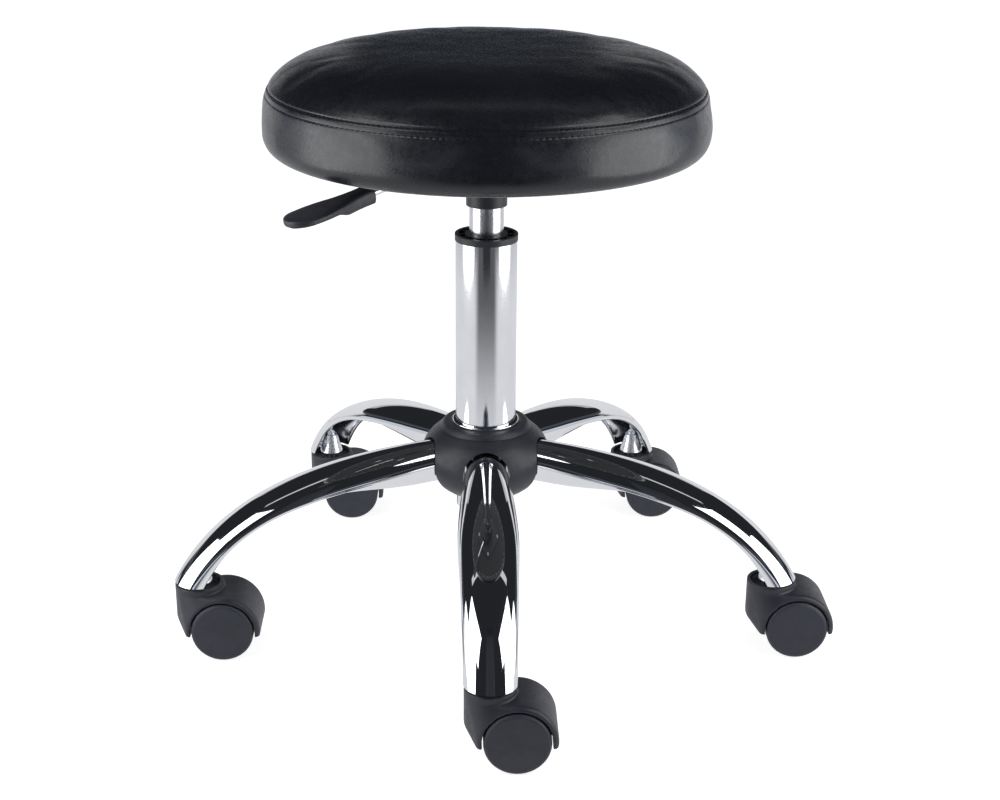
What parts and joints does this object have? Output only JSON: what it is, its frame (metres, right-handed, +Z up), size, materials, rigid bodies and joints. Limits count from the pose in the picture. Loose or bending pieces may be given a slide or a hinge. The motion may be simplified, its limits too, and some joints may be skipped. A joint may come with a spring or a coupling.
{
  "type": "rolling stylist stool",
  "caption": "Low rolling salon stool: round padded vinyl seat on a height-adjustable gas lift over a chrome pressed-tube base with hooded swivel casters.",
  "frame": {"origin": "on the floor under the axis of the column, which is the seat's swivel axis", "axes": "+Z up along the column; the front leg points along -Y and the casters trail towards +X"},
  "size_m": [0.5353, 0.4952, 0.479],
  "materials": {
    "chrome": "polished",
    "zinc_plate": "satin",
    "bare_steel": "satin",
    "black_paint": "satin",
    "black_nylon": "satin",
    "wheel_nylon": "satin",
    "black_rubber": "matte",
    "brass": "satin",
    "plywood": "matte",
    "black_vinyl": "satin",
    "foam": "matte",
    "dust_cloth": "matte"
  },
  "bodies": {
    "base": {"leg_1": "chrome", "leg_2": "chrome", "leg_3": "chrome", "leg_4": "chrome", "leg_5": "chrome", "hub_sleeve": "bare_steel", "hub_cover": "black_nylon", "hub_trim_ring": "chrome", "column_tube": "chrome", "column_bushing": "black_nylon", "stem_sockets": "chrome", "caster_stems": "zinc_plate", "stem_grip_rings": "bare_steel", "thrust_race_lower": "bare_steel"},
    "spindle": {"piston_rod": "zinc_plate", "piston_head": "brass", "rod_clip": "bare_steel", "thrust_race_upper": "bare_steel", "rubber_bumper": "black_rubber"},
    "bearing": {"bearing_cage": "brass", "bearing_balls": "bare_steel"},
    "lift": {"gas_cylinder": "chrome", "cylinder_gland": "black_rubber", "valve_body": "brass", "taper_boss": "black_paint", "lever_housing": "black_paint", "mount_plate": "black_paint", "plate_bolts": "zinc_plate", "t_nuts": "zinc_plate", "seat_board": "plywood", "dust_cover": "dust_cloth", "seat_foam": "foam", "seat_cover": "black_vinyl"},
    "release": {"release_pin": "zinc_plate"},
    "lever": {"lever_rod": "chrome", "lever_handle": "black_nylon"},
    "caster_1": {"caster_hood_1": "black_nylon", "caster_axle_1": "zinc_plate"},
    "wheel_l_1": {"wheel_left_1": "wheel_nylon"},
    "wheel_r_1": {"wheel_right_1": "wheel_nylon"},
    "caster_2": {"caster_hood_2": "black_nylon", "caster_axle_2": "zinc_plate"},
    "wheel_l_2": {"wheel_left_2": "wheel_nylon"},
    "wheel_r_2": {"wheel_right_2": "wheel_nylon"},
    "caster_3": {"caster_hood_3": "black_nylon", "caster_axle_3": "zinc_plate"},
    "wheel_l_3": {"wheel_left_3": "wheel_nylon"},
    "wheel_r_3": {"wheel_right_3": "wheel_nylon"},
    "caster_4": {"caster_hood_4": "black_nylon", "caster_axle_4": "zinc_plate"},
    "wheel_l_4": {"wheel_left_4": "wheel_nylon"},
    "wheel_r_4": {"wheel_right_4": "wheel_nylon"},
    "caster_5": {"caster_hood_5": "black_nylon", "caster_axle_5": "zinc_plate"},
    "wheel_l_5": {"wheel_left_5": "wheel_nylon"},
    "wheel_r_5": {"wheel_right_5": "wheel_nylon"}
  },
  "joints": [
    {"name": "seat_swivel", "type": "hinge", "parent": "base", "child": "spindle", "pos_m": [0, 0, 0.1], "axis": [0, 0, 1], "continuous": true},
    {"name": "bearing_turn", "type": "hinge", "parent": "base", "child": "bearing", "pos_m": [0, 0, 0.1], "axis": [0, 0, 1], "continuous": true},
    {"name": "seat_lift", "type": "slide", "parent": "spindle", "child": "lift", "axis": [0, 0, 1], "range_m": [0, 0.12]},
    {"name": "lever_tilt", "type": "hinge", "parent": "lift", "child": "lever", "pos_m": [-0.02824, -0.02543, 0.3942], "axis": [-0.6691, 0.7431, 0], "range_deg": [0, 6]},
    {"name": "pin_press", "type": "slide", "parent": "lift", "child": "release", "axis": [0, 0, 1], "range_m": [-0.0042, 0]},
    {"name": "caster_swivel_1", "type": "hinge", "parent": "base", "child": "caster_1", "pos_m": [0, -0.245, 0.05], "axis": [0, 0, 1], "continuous": true},
    {"name": "wheel_l_spin_1", "type": "hinge", "parent": "caster_1", "child": "wheel_l_1", "pos_m": [0.0195, -0.245, 0.025], "axis": [0, 1, 0], "continuous": true},
    {"name": "wheel_r_spin_1", "type": "hinge", "parent": "caster_1", "child": "wheel_r_1", "pos_m": [0.0195, -0.245, 0.025], "axis": [0, 1, 0], "continuous": true},
    {"name": "caster_swivel_2", "type": "hinge", "parent": "base", "child": "caster_2", "pos_m": [0.23301, -0.07571, 0.05], "axis": [0, 0, 1], "continuous": true},
    {"name": "wheel_l_spin_2", "type": "hinge", "parent": "caster_2", "child": "wheel_l_2", "pos_m": [0.25251, -0.07571, 0.025], "axis": [0, 1, 0], "continuous": true},
    {"name": "wheel_r_spin_2", "type": "hinge", "parent": "caster_2", "child": "wheel_r_2", "pos_m": [0.25251, -0.07571, 0.025], "axis": [0, 1, 0], "continuous": true},
    {"name": "caster_swivel_3", "type": "hinge", "parent": "base", "child": "caster_3", "pos_m": [0.14401, 0.19821, 0.05], "axis": [0, 0, 1], "continuous": true},
    {"name": "wheel_l_spin_3", "type": "hinge", "parent": "caster_3", "child": "wheel_l_3", "pos_m": [0.16351, 0.19821, 0.025], "axis": [0, 1, 0], "continuous": true},
    {"name": "wheel_r_spin_3", "type": "hinge", "parent": "caster_3", "child": "wheel_r_3", "pos_m": [0.16351, 0.19821, 0.025], "axis": [0, 1, 0], "continuous": true},
    {"name": "caster_swivel_4", "type": "hinge", "parent": "base", "child": "caster_4", "pos_m": [-0.14401, 0.19821, 0.05], "axis": [0, 0, 1], "continuous": true},
    {"name": "wheel_l_spin_4", "type": "hinge", "parent": "caster_4", "child": "wheel_l_4", "pos_m": [-0.12451, 0.19821, 0.025], "axis": [0, 1, 0], "continuous": true},
    {"name": "wheel_r_spin_4", "type": "hinge", "parent": "caster_4", "child": "wheel_r_4", "pos_m": [-0.12451, 0.19821, 0.025], "axis": [0, 1, 0], "continuous": true},
    {"name": "caster_swivel_5", "type": "hinge", "parent": "base", "child": "caster_5", "pos_m": [-0.23301, -0.07571, 0.05], "axis": [0, 0, 1], "continuous": true},
    {"name": "wheel_l_spin_5", "type": "hinge", "parent": "caster_5", "child": "wheel_l_5", "pos_m": [-0.21351, -0.07571, 0.025], "axis": [0, 1, 0], "continuous": true},
    {"name": "wheel_r_spin_5", "type": "hinge", "parent": "caster_5", "child": "wheel_r_5", "pos_m": [-0.21351, -0.07571, 0.025], "axis": [0, 1, 0], "continuous": true}
  ],
  "couplings": [
    {"joint": "bearing_turn", "follows": "seat_swivel", "ratio": 0.5},
    {"joint": "pin_press", "follows": "lever_tilt", "m_per_rad": -0.038}
  ]
}
